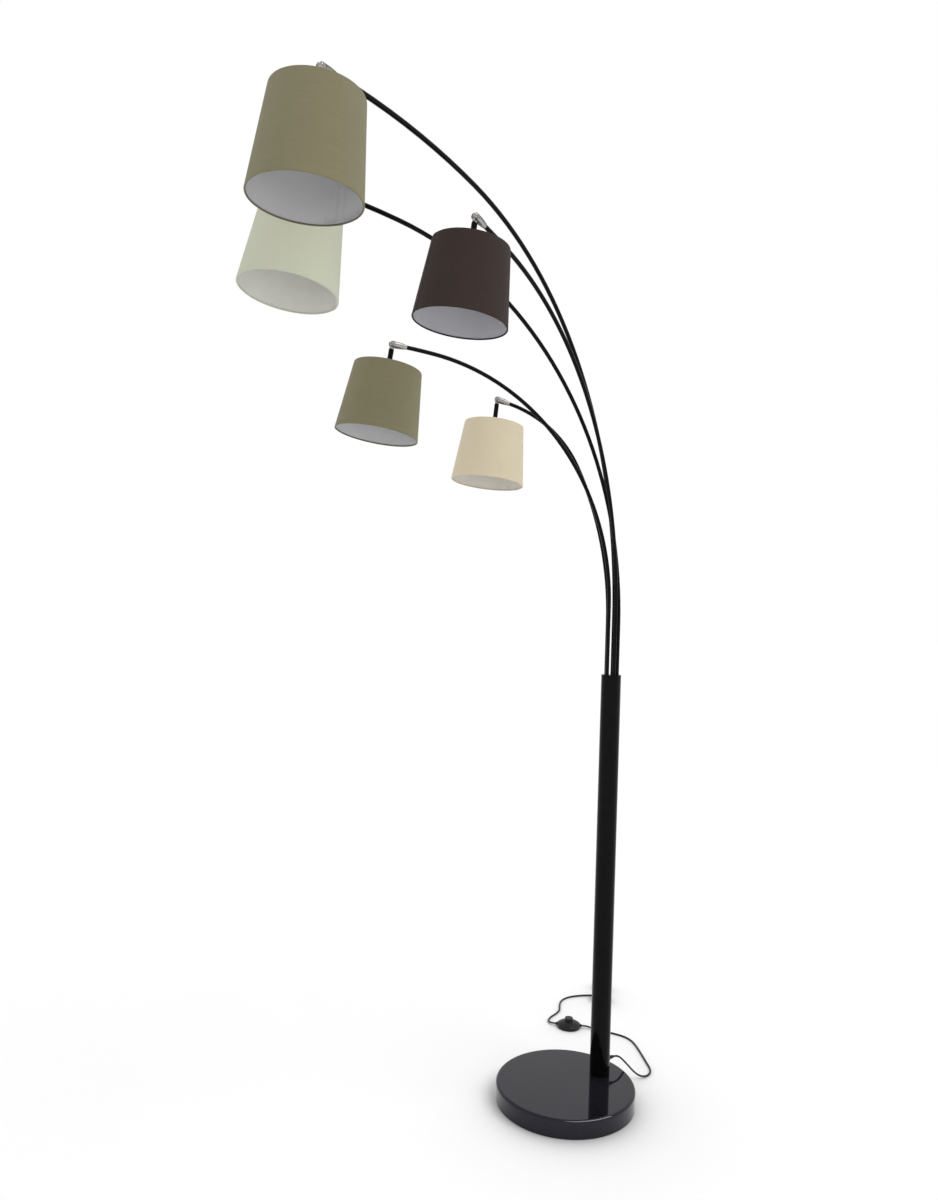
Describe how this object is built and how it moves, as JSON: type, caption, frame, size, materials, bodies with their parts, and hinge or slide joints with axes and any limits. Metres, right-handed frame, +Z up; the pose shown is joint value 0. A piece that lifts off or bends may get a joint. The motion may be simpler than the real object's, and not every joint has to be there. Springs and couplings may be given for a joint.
{
  "type": "multi-arm arc floor lamp",
  "caption": "Floor lamp: heavy round stone base, offset pole and curved arms that fan out, each with a tilting fabric drum shade, plus a corded foot switch.",
  "frame": {"origin": "on the floor under the middle of the round base", "axes": "+Z up along the pole, pole on the +X side of the base, arms reaching towards -X"},
  "size_m": [1.4468, 1.1131, 1.9581],
  "materials": {
    "stone": "polished",
    "felt": "matte",
    "steel": "satin",
    "black_paint": "gloss",
    "nickel": "satin",
    "plain_plastic": "matte",
    "black_plastic": "satin",
    "cord": "satin",
    "white_wire": "satin",
    "linen_olive": "matte",
    "linen_cream": "matte",
    "linen_brown": "matte",
    "linen_beige": "matte",
    "bulb_glass": "gloss"
  },
  "bodies": {
    "stand": {"base_disc": "stone", "base_pad": "felt", "base_washer": "steel", "base_bolt": "steel", "pole": "black_paint", "pole_foot": "steel", "arm_holder": "black_paint", "arm_guide": "plain_plastic", "terminal_block": "plain_plastic", "cord_gland": "black_plastic", "cord_lead": "cord", "switch_base": "black_plastic", "switch_cover": "black_plastic", "cord_tail": "cord", "cord_coil": "cord", "coil_tie": "plain_plastic", "plug_body": "black_plastic", "plug_pins": "steel"},
    "button": {"switch_button": "black_plastic"},
    "arm_1": {"arm_1_tube": "black_paint", "arm_1_elbow": "nickel", "arm_1_pivot_screw": "nickel"},
    "head_1": {"head_1_stem": "black_paint", "head_1_lampholder": "black_plastic", "head_1_shade_carrier": "white_wire", "head_1_shade": "linen_olive", "head_1_bulb": "bulb_glass"},
    "arm_2": {"arm_2_tube": "black_paint", "arm_2_elbow": "nickel", "arm_2_pivot_screw": "nickel"},
    "head_2": {"head_2_stem": "black_paint", "head_2_lampholder": "black_plastic", "head_2_shade_carrier": "white_wire", "head_2_shade": "linen_cream", "head_2_bulb": "bulb_glass"},
    "arm_3": {"arm_3_tube": "black_paint", "arm_3_elbow": "nickel", "arm_3_pivot_screw": "nickel"},
    "head_3": {"head_3_stem": "black_paint", "head_3_lampholder": "black_plastic", "head_3_shade_carrier": "white_wire", "head_3_shade": "linen_brown", "head_3_bulb": "bulb_glass"},
    "arm_4": {"arm_4_tube": "black_paint", "arm_4_elbow": "nickel", "arm_4_pivot_screw": "nickel"},
    "head_4": {"head_4_stem": "black_paint", "head_4_lampholder": "black_plastic", "head_4_shade_carrier": "white_wire", "head_4_shade": "linen_olive", "head_4_bulb": "bulb_glass"},
    "arm_5": {"arm_5_tube": "black_paint", "arm_5_elbow": "nickel", "arm_5_pivot_screw": "nickel"},
    "head_5": {"head_5_stem": "black_paint", "head_5_lampholder": "black_plastic", "head_5_shade_carrier": "white_wire", "head_5_shade": "linen_beige", "head_5_bulb": "bulb_glass"}
  },
  "joints": [
    {"name": "switch_press", "type": "slide", "parent": "stand", "child": "button", "axis": [0, 0, 1], "range_m": [-0.003, 0], "stiffness_N_per_m": 600},
    {"name": "arm_1_swivel", "type": "hinge", "parent": "stand", "child": "arm_1", "pos_m": [0.11016, 0.00964, 1], "axis": [0, 0, 1], "range_deg": [-1, 12]},
    {"name": "head_1_tilt", "type": "hinge", "parent": "arm_1", "child": "head_1", "pos_m": [-0.84992, -0.5197, 1.94409], "axis": [-0.4868, 0.8713, 0.0613], "range_deg": [-15, 45]},
    {"name": "arm_2_swivel", "type": "hinge", "parent": "stand", "child": "arm_2", "pos_m": [0.1123, -0.00668, 1], "axis": [0, 0, 1], "range_deg": [-5, 1]},
    {"name": "head_2_tilt", "type": "hinge", "parent": "arm_2", "child": "head_2", "pos_m": [-0.77914, -0.25072, 1.896], "axis": [-0.2645, 0.9643, 0.0157], "range_deg": [-10, 35]},
    {"name": "arm_3_swivel", "type": "hinge", "parent": "stand", "child": "arm_3", "pos_m": [0.09745, -0.01377, 1], "axis": [0, 0, 1], "range_deg": [-3, 3]},
    {"name": "head_3_tilt", "type": "hinge", "parent": "arm_3", "child": "head_3", "pos_m": [-0.49186, -0.33707, 1.87196], "axis": [-0.4667, 0.8805, 0.0831], "range_deg": [-12, 30]},
    {"name": "arm_4_swivel", "type": "hinge", "parent": "stand", "child": "arm_4", "pos_m": [0.08612, -0.00183, 1], "axis": [0, 0, 1], "range_deg": [-6, 5]},
    {"name": "head_4_tilt", "type": "hinge", "parent": "arm_4", "child": "head_4", "pos_m": [-0.50633, -0.01041, 1.71415], "axis": [-0.0136, 0.9996, 0.0229], "range_deg": [-15, 45]},
    {"name": "arm_5_swivel", "type": "hinge", "parent": "stand", "child": "arm_5", "pos_m": [0.09397, 0.01264, 1], "axis": [0, 0, 1], "range_deg": [-15, 6]},
    {"name": "head_5_tilt", "type": "hinge", "parent": "arm_5", "child": "head_5", "pos_m": [-0.15099, 0.15762, 1.67339], "axis": [0.4895, 0.8696, -0.0649], "range_deg": [-8, 45]}
  ]
}
